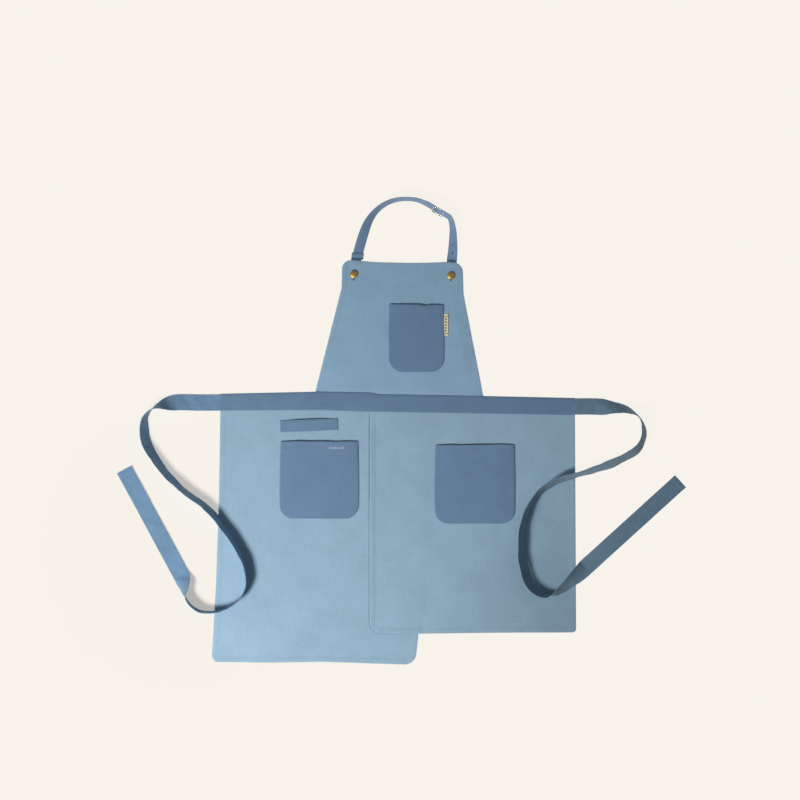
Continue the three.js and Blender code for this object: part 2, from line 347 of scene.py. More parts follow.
class Graph:
    """A material and a short way to add its nodes."""

    def __init__(self, name):
        self.material = bpy.data.materials.new(name)
        self.material.use_nodes = True
        self.tree = self.material.node_tree
        self.shader = self.tree.nodes["Principled BSDF"]

    def put(self, kind, settings=None, inputs=None):
        made = self.tree.nodes.new("ShaderNode" + kind)
        for key, value in (settings or {}).items():
            setattr(made, key, value)
        for key, value in (inputs or {}).items():
            self.join(value, made.inputs[key])
        return made

    def join(self, value, socket):
        if isinstance(value, bpy.types.NodeSocket):
            self.tree.links.new(value, socket)
        else:
            socket.default_value = value

    def math(self, operation, a, b=0.0):
        return self.put("Math", {"operation": operation}, {0: a, 1: b}).outputs[0]

    def times(self, vector, factors):
        return self.put("VectorMath", {"operation": "MULTIPLY"}, {0: vector, 1: factors}).outputs[0]

    def noise(self, vector, detail=2.0, roughness=0.5):
        return self.put("TexNoise", None, {"Vector": vector, "Scale": 1.0, "Detail": detail,
                                           "Roughness": roughness}).outputs["Fac"]

    def ramp(self, factor, stops):
        made = self.put("ValToRGB", None, {"Fac": factor})
        elements = made.color_ramp.elements
        for spot, (at, colour) in enumerate(stops):
            if spot >= len(elements):
                elements.new(at)
            elements[spot].position = at
            elements[spot].color = colour
        return made.outputs["Color"]

    def bump(self, height, strength, distance, normal=None):
        inputs = {"Height": height, "Strength": strength, "Distance": distance}
        if normal is not None:
            inputs["Normal"] = normal
        return self.put("Bump", None, inputs).outputs["Normal"]


def canvas(name, colour, pitch=0.62, spread=0.17, mottle=0.5, sheen=0.12, painted_falloff=None):
    """Plain-weave cotton, threads pitch millimetres apart; its last argument (x, y, reach) adds painted shade
    that darkens it towards that point.
    """
    g = Graph(name)
    uv = g.put("UVMap", {"uv_map": "cloth"}).outputs["UV"]
    turns = 2 * math.pi / (2 * pitch * MM)
    parts = g.put("SeparateXYZ", None, {0: g.times(uv, (turns, turns, 1))}).outputs
    over = g.math("MULTIPLY", g.math("SINE", parts[0]), g.math("SINE", parts[1]))
    warp = g.noise(g.times(uv, (1100, 26, 1)), 2.0, 0.6)
    weft = g.noise(g.times(uv, (22, 1000, 1)), 2.0, 0.6)
    cloud = g.noise(g.times(uv, (14, 14, 1)), 4.0, 0.62)
    fleck = g.noise(g.times(uv, (330, 330, 1)), 3.0, 0.7)
    threads = g.math("ADD", g.math("MULTIPLY", warp, 0.42), g.math("MULTIPLY", weft, 0.38))
    tone = g.math("ADD", threads, g.math("MULTIPLY", cloud, mottle))
    tone = g.math("ADD", tone, g.math("MULTIPLY", fleck, 0.34))
    tone = g.math("ADD", tone, g.math("MULTIPLY", over, 0.035))
    tone = g.math("SUBTRACT", tone, (0.42 + 0.38 + mottle + 0.34) / 2 - 0.5)
    # Painted shade: the tone drops towards a point, standing in for the key light's fall-off there.
    if painted_falloff:
        x, y, reach = (c * MM for c in painted_falloff)
        away = g.put("VectorMath", {"operation": "DISTANCE"}, {0: uv, 1: (x, y, 0)}).outputs["Value"]
        near = g.math("MAXIMUM", g.math("SUBTRACT", 1.0, g.math("DIVIDE", away, reach)), 0.0)
        tone = g.math("SUBTRACT", tone, g.math("MULTIPLY", near, 0.42))
    dark, light = shade(colour, 1 - 1.4 * spread), shade(colour, 1 + spread)
    base = g.ramp(tone, [(0.1, dark), (0.5, colour), (0.8, light)])
    g.join(base, g.shader.inputs["Base Color"])
    rough = g.math("ADD", g.math("MULTIPLY", fleck, 0.18), 0.76)
    g.join(rough, g.shader.inputs["Roughness"])
    g.shader.inputs["Specular IOR Level"].default_value = 0.22
    g.shader.inputs["Sheen Weight"].default_value = sheen
    g.shader.inputs["Sheen Roughness"].default_value = 0.55
    height = g.math("ADD", g.math("MULTIPLY", over, 0.5), g.math("ADD", warp, weft))
    fine = g.bump(height, 0.55, 0.22 * MM)
    crumple = g.noise(g.times(uv, (30, 34, 1)), 3.0, 0.55)
    soft = g.bump(crumple, 0.5, 1.6 * MM, fine)
    g.join(soft, g.shader.inputs["Normal"])
    return g.material


def metal(name, colour, rough, wear):
    """Plated metal with fine scratches and duller patches, from object coordinates."""
    g = Graph(name)
    where = g.put("TexCoord").outputs["Object"]
    patch = g.noise(g.times(where, (420, 420, 420)), 4.0, 0.6)
    scratch = g.noise(g.times(where, (6000, 700, 3000)), 2.0, 0.6)
    tone = g.math("ADD", g.math("MULTIPLY", patch, 0.7), g.math("MULTIPLY", scratch, 0.3))
    base = g.ramp(tone, [(0.3, shade(colour, 1 - wear)), (0.5, colour), (0.72, shade(colour, 1 + wear))])
    g.join(base, g.shader.inputs["Base Color"])
    g.shader.inputs["Metallic"].default_value = 0.85
    g.join(g.math("ADD", g.math("MULTIPLY", tone, 0.22), rough - 0.1), g.shader.inputs["Roughness"])
    g.join(g.bump(scratch, 0.25, 0.05 * MM), g.shader.inputs["Normal"])
    return g.material


def thread(name, colour):
    """Sewing thread with a fine fuzz of tone and bump from object coordinates."""
    g = Graph(name)
    where = g.put("TexCoord").outputs["Object"]
    fuzz = g.noise(g.times(where, (2600, 2600, 2600)), 2.0, 0.6)
    base = g.ramp(fuzz, [(0.3, shade(colour, 0.8)), (0.7, shade(colour, 1.15))])
    g.join(base, g.shader.inputs["Base Color"])
    g.shader.inputs["Roughness"].default_value = 0.72
    g.shader.inputs["Sheen Weight"].default_value = 0.25
    g.join(g.bump(fuzz, 0.4, 0.08 * MM), g.shader.inputs["Normal"])
    return g.material


def woven_label(name, ground, mark):
    """Close-woven tape with two stripes at each end and a row of small lozenges between them."""
    g = Graph(name)
    uv = g.put("UVMap", {"uv_map": "cloth"}).outputs["UV"]
    parts = g.put("SeparateXYZ", None, {0: uv}).outputs
    x, y = parts[0], parts[1]
    thread_tone = g.noise(g.times(uv, (4200, 900, 1)), 2.0, 0.6)
    base = g.ramp(thread_tone, [(0.3, shade(ground, 0.86)), (0.7, shade(ground, 1.06))])
    step = 6.4 * MM
    across = g.math("ABSOLUTE", g.math("SUBTRACT", x, 96.6 * MM))
    along = g.math("PINGPONG", g.math("SUBTRACT", y, 233 * MM), step / 2)
    lozenge = g.math("LESS_THAN", g.math("ADD", g.math("MULTIPLY", across, 0.9), along), 2.3 * MM)
    from_middle = g.math("ABSOLUTE", g.math("SUBTRACT", y, 233.2 * MM))
    inside = g.math("LESS_THAN", from_middle, 15 * MM)
    stripe = g.math("COMPARE", from_middle, 19 * MM)
    stripe.node.inputs[2].default_value = 0.6 * MM
    marked = g.math("MAXIMUM", g.math("MULTIPLY", lozenge, inside), stripe)
    mixed = g.put("Mix", {"data_type": "RGBA"}, {0: marked, 6: base, 7: mark}).outputs[2]
    g.join(mixed, g.shader.inputs["Base Color"])
    g.shader.inputs["Roughness"].default_value = 0.6
    g.shader.inputs["Sheen Weight"].default_value = 0.2
    g.join(g.bump(g.math("ADD", thread_tone, g.math("MULTIPLY", marked, 0.6)), 0.5, 0.12 * MM),
           g.shader.inputs["Normal"])
    return g.material


# %% Materials
bib_cloth = canvas("bib_canvas", linear(149, 184, 210))
skirt_cloth = canvas("skirt_canvas", linear(155, 187, 209))
# The right skirt gets painted shade towards its lower right corner, far from the key light.
right_skirt_cloth = canvas("right_skirt_canvas", linear(155, 187, 209), painted_falloff=(400, -420, 330))
trim_cloth = canvas("trim_canvas", linear(109, 139, 169), spread=0.16)
pocket_cloth = canvas("pocket_canvas", linear(112, 142, 174), spread=0.16)
strap_cloth = canvas("strap_canvas", linear(122, 150, 182), pitch=0.55)
left_tie_cloth = canvas("left_tie_canvas", linear(113, 147, 178), pitch=0.55)
# The right tie's canvas is a darker copy of the left tie's: painted shade for its side, further from the key
# light.
right_tie_shaded_cloth = canvas("right_tie_canvas", linear(111, 140, 162), pitch=0.55)
inside_cloth = canvas("waist_lining", linear(128, 157, 182))
brass = metal("brass", linear(206, 172, 100), 0.5, 0.2)
steel = metal("steel", linear(196, 198, 208), 0.22, 0.14)
blue_thread = thread("blue_thread", linear(126, 155, 180))
dark_thread = thread("dark_thread", linear(92, 120, 150))
pale_thread = thread("pale_thread", linear(226, 231, 235))
bartack_thread = thread("bartack_thread", linear(58, 76, 100))
label_tape = woven_label("label_tape", linear(248, 238, 190), linear(52, 54, 52))
print("materials", len(bpy.data.materials))


def dress(obj, material):
    obj.data.materials.clear()
    obj.data.materials.append(material)
    return obj


# %% [markdown]
# ## Sewing
# A lockstitch shows as a row of short thread bumps sunk a little into the cloth. Each one here is a small
# ellipsoid set along the seam, about three millimetres long, as on workwear.


# %% Sewing tool
def one_stitch():
    """A rounded stitch of unit size along X."""
    bm = bmesh.new()
    along = Matrix.Rotation(math.pi / 2, 4, "Y")
    bmesh.ops.create_uvsphere(bm, u_segments=6, v_segments=4, radius=1.0, matrix=along)
    mesh = bpy.data.meshes.new("stitch")
    bm.to_mesh(mesh)
    bm.free()
    return mesh


STITCH = one_stitch()
STITCH_SHAPE = np.array([v.co[:] for v in STITCH.vertices])


def sew(name, runs, material, length=2.7, gap=0.9, thick=0.5):
    """Stitches along runs, each a list of (point, normal) in millimetres, as one piece."""
    bm = bmesh.new()
    size = np.array((length / 2, thick / 2, thick * 0.34))
    for run in runs:
        points = np.array([tuple(p) for p, _ in run])
        normals = np.array([tuple(n) for _, n in run])
        steps = np.linalg.norm(np.diff(points, axis=0), axis=1)
        along = np.concatenate([[0], np.cumsum(steps)])
        count = max(1, int(along[-1] // (length + gap)))
        pitch = along[-1] / count
        for k in range(count):
            centre = (k + 0.5) * pitch
            ends = [np.array([np.interp(centre + side * length / 2, along, points[:, c]) for c in range(3)])
                    for side in (-1, 1)]
            up = np.array([np.interp(centre, along, normals[:, c]) for c in range(3)])
            way = (ends[1] - ends[0]) / max(np.linalg.norm(ends[1] - ends[0]), 1e-6)
            side_way = np.cross(up, way)
            side_way /= max(np.linalg.norm(side_way), 1e-6)
            turned = np.stack([way, side_way, np.cross(way, side_way)])
            laid_stitch = ((STITCH_SHAPE * size) @ turned + (ends[0] + ends[1]) / 2) * MM
            STITCH.vertices.foreach_set("co", laid_stitch.ravel())
            bm.from_mesh(STITCH)
    return dress(make_object(name, bm), material)


def flat_run(points, height):
    """A seam along (x, y) points on a cloth whose top is height(x, y)."""
    line = np.array(points, float)
    length = np.linalg.norm(np.diff(line, axis=0), axis=1).sum()
    return [(Vector((x, y, height(x, y))), UP) for x, y in resample(line, max(2, round(length / 4)))]


def inset_run(loop, marks, distance, height):
    """A seam that follows an outline from one mark to the other, distance inside it."""
    first, last = (int(np.argmin(np.linalg.norm(loop - np.array(m), axis=1))) for m in marks)
    index = [(first + n) % len(loop) for n in range((last - first) % len(loop) + 1)]
    line = loop[index]
    way = np.gradient(line, axis=0)
    way /= np.maximum(np.linalg.norm(way, axis=1, keepdims=True), 1e-9)
    inside = np.stack([-way[:, 1], way[:, 0]], axis=1)
    return flat_run(line + inside * distance, height)


def strip_runs(strip, start, end, inset=3.2, both_faces=False):
    """The two rows of stitches along a strip's edges."""
    runs = []
    faces = (1, -1) if both_faces else (1,)
    for side in (-1, 1):
        for face in faces:
            run = []
            for s in np.linspace(start, end, max(3, round((end - start) / 4))):
                point, _, normal = strip.at(s, side * (strip.width / 2 - inset), face * 0.62)
                run.append((point, normal * face))
            runs.append(run)
    return runs


print("sewing tool ready")

# %% [markdown]
# ## Camera, light and floor
# The apron is seen from straight above. The main light stands low to the left of the hem, so straps on edge
# throw their shadows up and to the right, and a weak second light opposite keeps the right side readable.

# %% Camera, light and floor
camera_data = bpy.data.cameras.new("camera")
camera_data.lens = 85
camera = bpy.data.objects.new("camera", camera_data)
bpy.context.scene.collection.objects.link(camera)
bpy.context.scene.camera = camera
VIEW_WIDTH = 1.76
LOOK_AT = Vector((-0.0044, 0.0682, 0.0))
camera.location = LOOK_AT + Vector((0, 0, VIEW_WIDTH / 2 / math.tan(math.atan(18 / 85))))
camera_data.clip_end = 50
KEY_AT = Vector((-1.2, -1.0, 1.6))
KEY_POWER = 42.0
AMBIENT = 0.13


def area_light(name, where, size, power, colour=(1, 1, 1)):
    data = bpy.data.lights.new(name, "AREA")
    data.size = size
    data.energy = power
    data.color = colour
    lamp = bpy.data.objects.new(name, data)
    lamp.location = where
    lamp.rotation_euler = (LOOK_AT - Vector(where)).to_track_quat("-Z", "Y").to_euler()
    bpy.context.scene.collection.objects.link(lamp)


area_light("key", KEY_AT, 0.42, KEY_POWER, (1.0, 0.975, 0.95))
area_light("fill", (1.6, 1.7, 2.2), 1.2, 5, (0.95, 0.97, 1.0))
world = bpy.data.worlds.new("studio")
world.use_nodes = True
world.node_tree.nodes["Background"].inputs["Color"].default_value = (0.78, 0.9, 1.0, 1)
world.node_tree.nodes["Background"].inputs["Strength"].default_value = AMBIENT
bpy.context.scene.world = world
bpy.context.scene.view_settings.view_transform = "Standard"

# %% [markdown]
# ## Backlit paper
# The table is a sheet of translucent paper lit from below, so it looks evenly pale. Its glow makes up for the
# key light's fall-off, and it takes shadows only near the left tie, where the glow is weaker.

# %% Paper
bm = bmesh.new()
bmesh.ops.create_grid(bm, x_segments=2, y_segments=2, size=9)
floor = make_object("floor", bm, False)
g = Graph("paper")
PAPER = (0.930, 0.896, 0.831)
where = g.put("TexCoord").outputs["Object"]
from_key = g.put("VectorMath", {"operation": "SUBTRACT"}, {0: where, 1: KEY_AT}).outputs[0]
reach = g.put("VectorMath", {"operation": "LENGTH"}, {0: from_key}).outputs["Value"]
facing = g.put("VectorMath", {"operation": "DOT_PRODUCT"}, {0: from_key, 1: (LOOK_AT - KEY_AT).normalized()})
key_share = KEY_POWER * KEY_AT.z / math.pi**2
lit = g.math("DIVIDE", g.math("MULTIPLY", facing.outputs["Value"], key_share), g.math("POWER", reach, 4.0))
lit = g.math("ADD", lit, AMBIENT)
near_tie = g.put("VectorMath", {"operation": "DISTANCE"}, {0: where, 1: (-0.47, -0.24, 0)}).outputs["Value"]
matt = g.put("MapRange", {"interpolation_type": "SMOOTHSTEP"},
             {"Value": near_tie, "From Min": 0.2, "From Max": 0.36, "To Min": 0.5, "To Max": 0.05}).outputs[0]
glow = g.math("SUBTRACT", 1.0, g.math("MULTIPLY", matt, lit))


def paper_tone(factor):
    return g.put("VectorMath", {"operation": "SCALE"}, {0: PAPER, "Scale": factor}).outputs[0]


g.join(paper_tone(matt), g.shader.inputs["Base Color"])
g.join(paper_tone(glow), g.shader.inputs["Emission Color"])
g.shader.inputs["Emission Strength"].default_value = 1.0
g.shader.inputs["Roughness"].default_value = 0.95
g.shader.inputs["Specular IOR Level"].default_value = 0.0
floor.data.materials.append(g.material)
floor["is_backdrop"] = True
print("camera height", round(camera.location.z, 3))

# %% [markdown]
# ## Skirt panels
# Each skirt panel is one piece of canvas with a turned, stitched hem round its free sides; its top is caught
# in the waistband. The right one lies over the left, so its cloth steps down where the left one ends.

# %% Skirt panels
LEFT_SKIRT = [
    (-399.0, 58.0), (-399.5, 44.2), (-402.6, -151.8), (-409.2, -341.0), (-418.0, -495.0), (-412.5, -508.0, 6),
    (-292.6, -509.3), (-176.0, -507.5), (-74.8, -510.8), (28.6, -514.4, 24), (36.0, -446.6), (35.0, 55.0),
    (-70.4, 56.0), (-184.8, 60.0),
]
RIGHT_SKIRT = [
    (-70.4, 54.0), (-70.4, -443.8, 26), (17.6, -445.9), (211.2, -443.5), (382.8, -442.9, 8), (380.2, 52.0),
    (35.0, 54.0),
]


SLIT_X = -70.4


def beyond_slit(x, y):
    """How far a point of the left panel lies outside the right panel's free corner; negative beneath it."""
    across, down = SLIT_X + 26 - x, -417.8 - y
    return (math.hypot(across, down) if across > 0 and down > 0 else max(across, down)) - 26


def under_height(x, y):
    """The left panel's cloth without its hem: it swells a little beside the other panel's free edge."""
    out = beyond_slit(x, y)
    swell = 1.0 * smooth(0.8, 3.6, out) * (1 - smooth(6, 70, out)) * smooth(44, 20, y)
    return UNDER_Z + swell + 0.3 * wave(x, y, 150, 1.3)


def over_height(x, y):
    """The right panel's cloth without its hem: on the left panel, then down to the surface."""
    step = 1.15 * (1 - smooth(34.0, 75.0 - 28.0 * smooth(-300, -440, y), x))
    edge = min(x - SLIT_X, max(0.0, y + 443.8))
    lift = 0.9 * (1 - smooth(0, 14, edge)) * smooth(40, -10, y) * (1 - smooth(30, 60, x))
    return UNDER_Z + 0.25 + step + lift + 0.4 * wave(x, y, 160, 4.1) + 0.2 * wave(x, y, 45, 9.2)


def pucker(x, y, edge, seed):
    """Small ripples along a hem, where the needle has drawn the cloth in."""
    return 0.22 * wave(x, y, 11, seed) * (1 - smooth(HEM, HEM + 8, edge))


def left_skirt_height(x, y, edge):
    hem = hem_profile(edge) if y < 30 else 0
    return under_height(x, y) + hem + 0.18 * wave(x, y, 42, 7.7) + pucker(x, y, edge, 3.1)


def right_skirt_height(x, y, edge):
    hem = hem_profile(edge) if y < 30 else 0
    return over_height(x, y) + hem + pucker(x, y, edge, 5.6)


left_corners = [(-412.5, -508.0), (28.6, -514.4), (35.0, 55.0), (-399.0, 58.0)]
right_corners = [(-70.4, -443.8), (382.8, -442.9), (380.2, 52.0), (-70.4, 54.0)]
near_hem = (0.01, 0.03, 1.6)
left_skirt = panel("left_skirt", LEFT_SKIRT, left_corners, (190, 200), left_skirt_height,
                   ((near_hem, (0.752, 0.012, 4.0)), (near_hem, (0.118, 0.012, 3.0))))
right_skirt = panel("right_skirt", RIGHT_SKIRT, right_corners, (190, 190), right_skirt_height,
                    ((near_hem, (0.99, 0.03, 1.2)), (near_hem,)))
for obj, cloth in ((left_skirt, skirt_cloth), (right_skirt, right_skirt_cloth)):
    dress(thicken(obj, CLOTH), cloth)
    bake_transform(obj)
    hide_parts(obj.name + "_panel")
    print(obj.name, "flat", [round(x, 3) for x in obj["flat"]], "area", round(obj["area"], 4))

# %% Skirt hems
left_loop, right_loop = rounded(LEFT_SKIRT), rounded(RIGHT_SKIRT)


def left_top(x, y):
    return under_height(x, y) + 0.5 * CLOTH + 0.05


def right_top(x, y):
    return over_height(x, y) + 0.5 * CLOTH + 0.05


left_run = inset_run(left_loop, [(-399.5, 40.0), (36.0, -430.0)], HEM - 1.5, left_top)
right_run = inset_run(right_loop, [(-70.4, 38.0), (380.2, 34.0)], HEM - 1.5, right_top)
# A dense row of dark stitches beside the right panel's free edge: painted shadow, a dark line along the slit.
slit_shadow_run = flat_run([(-71.3, 40.0), (-71.3, -150.0)], left_top)
hem_left = sew("left_skirt_stitches", [left_run], blue_thread)
hem_right = sew("right_skirt_stitches", [right_run], blue_thread)
slit_shadow_row = sew("slit_stitches", [slit_shadow_run], dark_thread, gap=0.25, thick=0.9)
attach(hem_left, "left_skirt")
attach(slit_shadow_row, "left_skirt")
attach(hem_right, "right_skirt")
print("hem stitches", len(hem_left.data.polygons) // 24, len(hem_right.data.polygons) // 24)

# %% [markdown]
# ## Bib
# The bib is cut in one piece, wider at the waist, with rounded top corners and a worked buttonhole in each.
# It is a separate fold from the skirt.

# %% Bib
BIB = [
    (-194.4, 71.0), (-70.0, 70.0), (-48.0, 66.0), (181.6, 63.0), (135.4, 300.0), (133.4, 369.4, 20),
    (99.0, 371.6), (52.8, 369.8), (11.0, 369.6), (-60.0, 371.2), (-100.0, 374.8), (-131.4, 376.6, 20),
    (-132.7, 314.6),
]
bib_loop = rounded(BIB)


def bib_middle(x, y):
    """The bib's cloth without its hem: held up a little by the strap ends, low between them."""
    top = smooth(180, 330, y)
    return 2.2 + 0.9 * top + 0.4 * wave(x, y, 130, 2.2) + 0.2 * wave(x, y, 40, 6.6)


def bib_height(x, y, edge):
    droop = -0.9 * (1 - smooth(0, 26, edge)) * (1 - smooth(300, 340, y))
    hem = hem_profile(edge) if y > 96 else 0
    over_strap = sum(math.exp(-(((x - at) / 13.0) ** 2)) for at in (-100.5, 109.5))
    return bib_middle(x, y) + hem + droop + 1.1 * over_strap * smooth(354, 366, y) + pucker(x, y, edge, 8.3)


bib_marks = [(-194.4, 71.0), (181.6, 63.0), (133.4, 369.4), (-131.4, 376.6)]
bib = panel("bib", BIB, bib_marks, (180, 160), bib_height,
            (((0.01, 0.04, 1.2), (0.99, 0.04, 1.2)), ((0.99, 0.04, 1.4),)))
dress(thicken(bib, CLOTH), bib_cloth)
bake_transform(bib)
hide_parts("bib_panel")


def bib_top(x, y):
    return bib_middle(x, y) + 0.5 * CLOTH + 0.05


def bib_edge_top(x, y):
    return bib_height(x, y, HEM - 1.5) + 0.5 * CLOTH + 0.1


bib_run = inset_run(bib_loop, [(180.0, 92.0), (-190.0, 97.0)], HEM - 1.5, bib_edge_top)
bib_seam = sew("bib_stitches", [bib_run], blue_thread)
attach(bib_seam, "bib")
print("bib area", round(bib["area"], 4))

# %% [markdown]
# ## Buttonholes
# A buttonhole is a slit edged with close zigzag stitches. The button's stem holds it open; its opening is a
# thin dark oval of painted shadow, whose lower end shows as a dark notch below the cap.

# %% Buttonholes
def buttonhole(side):
    x, y = BUTTONS[side]
    runs = []
    for edge in (-1, 1):
        for k in range(26):
            at = y - 12.5 + k * 0.76
            runs.append([(Vector((px, at, bib_top(px, at))), UP) for px in (x + edge * 0.7, x + edge * 2.6)])
    for low in (y - 13.2, y + 7.4):
        for k in range(4):
            py = low + 0.45 * k
            runs.append([(Vector((px, py, bib_top(px, py))), UP) for px in (x - 2.6, x + 2.6)])
    worked = sew(side + "_buttonhole", runs, blue_thread, length=1.9, gap=0.1, thick=0.62)
    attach(worked, "bib")
    # A thin dark oval on the bib under the cap: painted shadow in the buttonhole's opening.
    bm = bmesh.new()
    place = Matrix.Translation((x * MM, (y - 3.0) * MM, (bib_top(x, y) + 0.12) * MM))
    oval = Matrix.Diagonal((0.0011, 0.0098, 1, 1))
    bmesh.ops.create_circle(bm, cap_ends=True, segments=24, radius=1.0, matrix=place @ oval)
    bmesh.ops.solidify(bm, geom=bm.faces[:], thickness=0.0002)
    slit = dress(make_object(side + "_slit", bm, False), painted_slit_shadow)
    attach(slit, "bib")


g = Graph("slit_shadow")
g.join(g.ramp(g.noise(g.times(g.put("TexCoord").outputs["Object"], (900, 900, 900))),
              [(0.3, linear(16, 22, 30)), (0.7, linear(30, 38, 48))]), g.shader.inputs["Base Color"])
g.shader.inputs["Roughness"].default_value = 1.0
g.shader.inputs["Specular IOR Level"].default_value = 0.0
painted_slit_shadow = g.material
for side in BUTTONS:
    buttonhole(side)
print("buttonholes worked")

# %% [markdown]
# ## Waistband
# The waistband is a folded strip sewn over the seam between bib and skirt, with a lining strip behind. A row
# of stitches holds each long edge, and a darker one crosses each end where a tie is caught in.

# %% Waistband
BAND = [*WAIST_BOTTOM, *reversed(WAIST_TOP)]
BAND_MARKS = [WAIST_BOTTOM[0], WAIST_BOTTOM[-1], WAIST_TOP[-1], WAIST_TOP[0]]


def band_middle(x, y):
    return 3.15 + 0.28 * wave(x, y, 60, 3.3) + 0.12 * wave(x, y * 2, 18, 1.1)


def band_height(x, y, edge):
    rim = -1.1 * (1 - smooth(0, 2.4, edge))
    groove = -0.25 * math.exp(-(((edge - SEAM) / 0.9) ** 2))
    return band_middle(x, y) + rim + groove


band = panel("waistband", BAND, BAND_MARKS, (300, 22), band_height)
dress(thicken(band, 1.2), trim_cloth)
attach(band, "waistband")
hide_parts("waistband_front")
lining = panel("waistband_lining", [(x, y + (1 if y < 60 else -1)) for x, y in BAND], BAND_MARKS, (200, 10),
               lambda x, y, edge: 0.7 + 0.12 * wave(x, y, 50, 8.8))
dress(thicken(lining, 0.8), inside_cloth)
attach(lining, "waistband")
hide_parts("waistband_back")


def band_top(x, y):
    return band_middle(x, y) + 0.5


rows = []
for edge, inward in ((WAIST_TOP, -SEAM), (WAIST_BOTTOM, SEAM)):
    inside = [(edge[0][0] + 4, edge[0][1]), *edge[1:-1], (edge[-1][0] - 4, edge[-1][1])]
    rows.append(flat_run([(x, y + inward) for x, y in inside], band_top))
band_seams = sew("waistband_stitches", rows, dark_thread)
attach(band_seams, "waistband")
ends = [flat_run([(x, y), (x, y + 38)], band_top) for x, y in ((-396.5, 44), (377.8, 35))]
end_seams = sew("waistband_end_stitches", ends, bartack_thread, gap=0.3, thick=0.8)
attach(end_seams, "waistband")
print("waistband flat", [round(x, 3) for x in band["flat"]])

# %% [markdown]
# ## Pockets
# A patch pocket is turned under and sewn round three sides. Its mouth has a deep folded hem and stands a
# little away from the cloth behind, most between the corners, so it throws a thin uneven shadow.


# %% Pockets
def pocket(name, node, body, sides, bottom, top, radius, base, bulge, lips, hem=25.0, lift=0.0):
    """sides are the left and right x at the bottom and top; lips are (x share, drop) along the mouth."""
    (left_low, left_high), (right_low, right_high) = sides

    def mouth(u):
        ease = sum(drop * math.exp(-(((u - at) / 0.07) ** 2)) for at, drop in lips)
        return top[0] * (1 - u) + top[1] * u + ease + 0.5 * wave(u * 100, 0, 17, radius)

    def place(u, v):
        y = bottom + (mouth(u) - bottom) * v**1.35
        up = max(0.0, radius - (y - bottom))
        inset = radius - math.sqrt(max(0.0, radius**2 - up**2))
        share = (y - bottom) / (top[0] - bottom)
        bow = 1.6 * math.sin(math.pi * min(1, share))
        left = left_low + (left_high - left_low) * share + inset - bow
        right = right_low + (right_high - right_low) * share - inset + bow
        x = left + (right - left) * u
        side = min(x - left, right - x)
        edge = min(side, (y - bottom) if radius < inset + 1 or up == 0 else side + (y - bottom))
        stand = bulge * (1 - (2 * u - 1) ** 4) * smooth(bottom, bottom + 0.8 * (top[0] - bottom), y)
        rim = 0.75 * smooth(0, 2.0, side) * smooth(0, 2.0, y - bottom)
        groove = sum(-0.22 * math.exp(-(((way - SEAM) / 0.9) ** 2)) for way in (side, y - bottom))
        below = mouth(u) - y
        fold = 0.5 * (1 - smooth(hem - 1.5, hem + 1.5, below))
        fold -= 0.3 * math.exp(-(((below - hem + 1.2) / 1.1) ** 2))
        uneven = 0.6 + 0.8 * wave(u * 100, 0, 21, radius + 2)
        lip = lift * math.exp(-below / 9.0) * uneven * smooth(0, 12, side)
        ripple = 0.3 * wave(x, y, 55, radius) + 0.12 * wave(x, y, 14, radius + 1)
        z = base(x, y) + 0.75 + rim + groove + stand + fold + max(0, lip) + ripple
        return (x, y, z), (x, y)

    obj = laid(name, (70, 72), place)
    width = max(right_low - left_low, right_high - left_high) + 3
    dress(thicken(obj, 1.1, 0.4), pocket_cloth)
    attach(obj, body)
    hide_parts(node)

    def on_top(u, v):
        point, _ = place(u, v)
        return Vector((point[0], point[1], point[2] + 0.62)), UP

    width_share = SEAM / width
    runs = [[on_top(width_share, v) for v in np.linspace(0.3, 0.995, 60)],
            [on_top(1 - width_share, v) for v in np.linspace(0.3, 0.995, 60)],
            [on_top(u, ((mouth(u) - hem + 1.2 - bottom) / (mouth(u) - bottom)) ** (1 / 1.35))
             for u in np.linspace(width_share, 1 - width_share, 60)]]
    curve = []
    corner = radius - SEAM
    for share in np.linspace(0, 1, 60):
        arc = math.pi / 2 * corner
        straight = (right_low - left_low) - 2 * radius
        at = share * (2 * arc + straight)
        if at < arc:
            turn = at / corner
            x, y = left_low + radius - corner * math.cos(turn), bottom + radius - corner * math.sin(turn)
        elif at < arc + straight:
            x, y = left_low + radius + at - arc, bottom + SEAM
        else:
            turn = (at - arc - straight) / corner
            x, y = right_low - radius + corner * math.sin(turn), bottom + radius - corner * math.cos(turn)
        curve.append((Vector((x, y, base(x, y) + 2.0)), UP))
    seam = sew(name + "_stitches", runs + [curve], dark_thread, thick=0.45)
    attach(seam, body)
    boxes = []
    for outer, inner in ((width_share, 16 / width), (1 - width_share, 1 - 16 / width)):
        foot = ((mouth(inner) - hem + 2.6 - bottom) / (mouth(inner) - bottom)) ** (1 / 1.35)
        boxes.append([on_top(inner, v) for v in np.linspace(foot, 0.99, 9)])
        boxes.append([on_top(u, v) for u, v in zip(np.linspace(outer, inner, 5), [foot] * 5)])
    corners = sew(name + "_corner_stitches", boxes, blue_thread, gap=0.4, thick=0.7)
    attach(corners, body)

    def surface(x, y):
        u = (x - left_low) / (right_low - left_low)
        v = ((y - bottom) / (mouth(u) - bottom)) ** (1 / 1.35)
        return place(u, v)[0][2] + 0.62

    return surface


